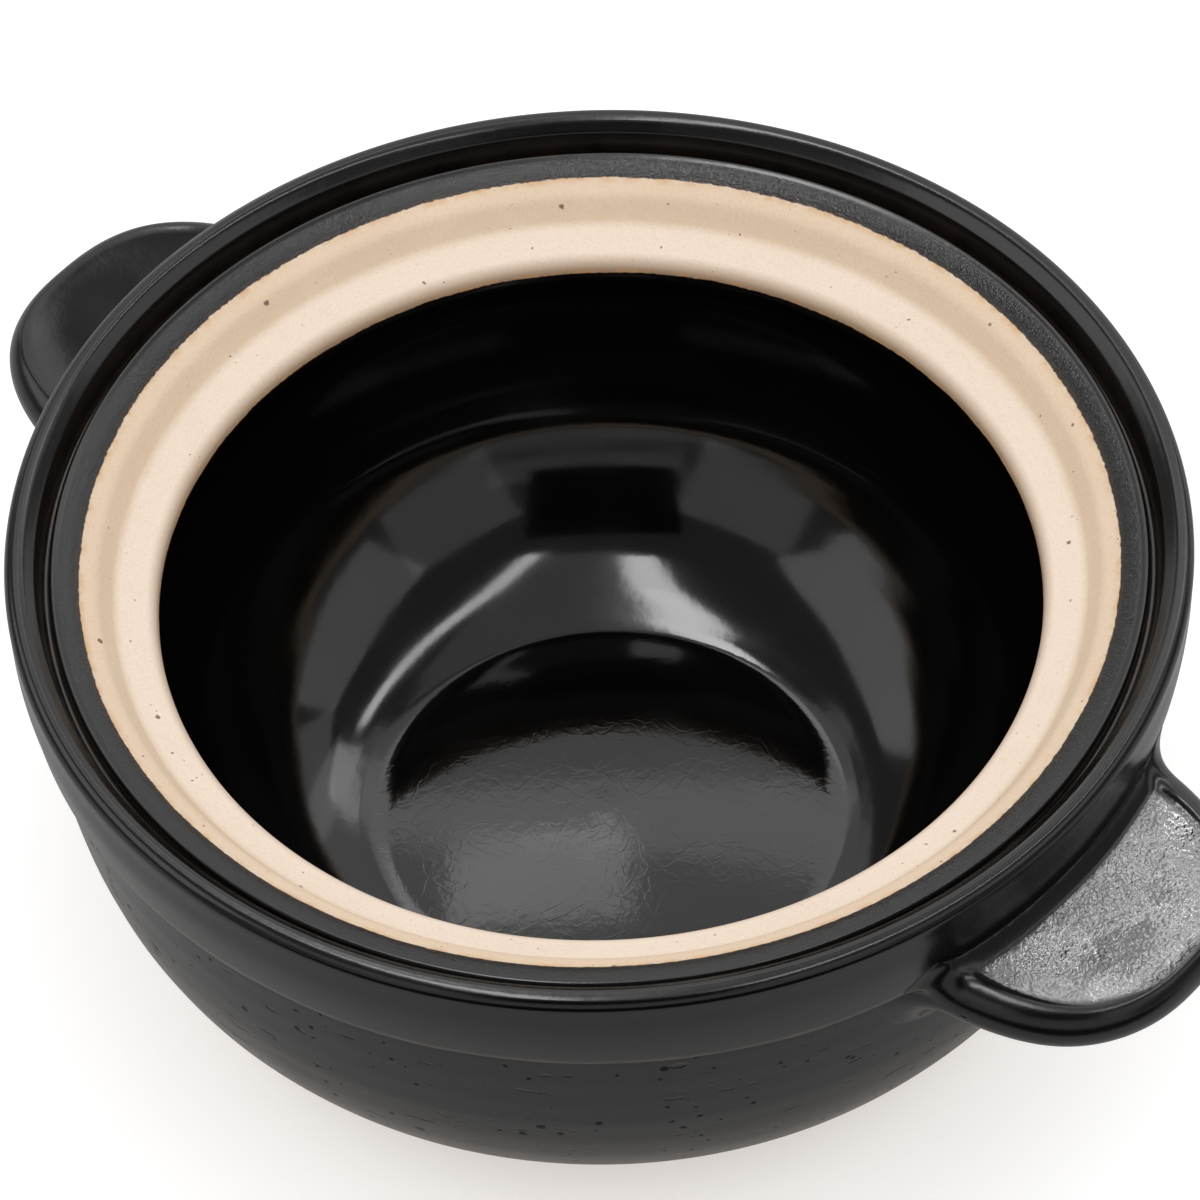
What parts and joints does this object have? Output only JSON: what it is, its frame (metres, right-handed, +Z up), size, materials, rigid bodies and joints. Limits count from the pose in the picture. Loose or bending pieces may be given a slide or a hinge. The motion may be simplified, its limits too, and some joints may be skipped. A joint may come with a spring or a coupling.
{
  "type": "donabe clay pot",
  "caption": "Wide stoneware cooking pot without its lids, black outside and in, with a stepped lid rim, a bare clay lid seat, a foot ring and flat ear handles",
  "frame": {"origin": "centre of the foot ring's resting face, at the middle of the overall width and depth", "axes": "+X through the middle of both handles, +Y across them, +Z up along the pot's axis"},
  "size_m": [0.302, 0.24, 0.107],
  "materials": {
    "black_glaze": "semi-gloss black glaze over buff stoneware; the lid seat and the underside are bare clay"
  },
  "bodies": {
    "root": {"pot_body": "black_glaze", "handle_right": "black_glaze", "handle_left": "black_glaze"}
  },
  "joints": []
}
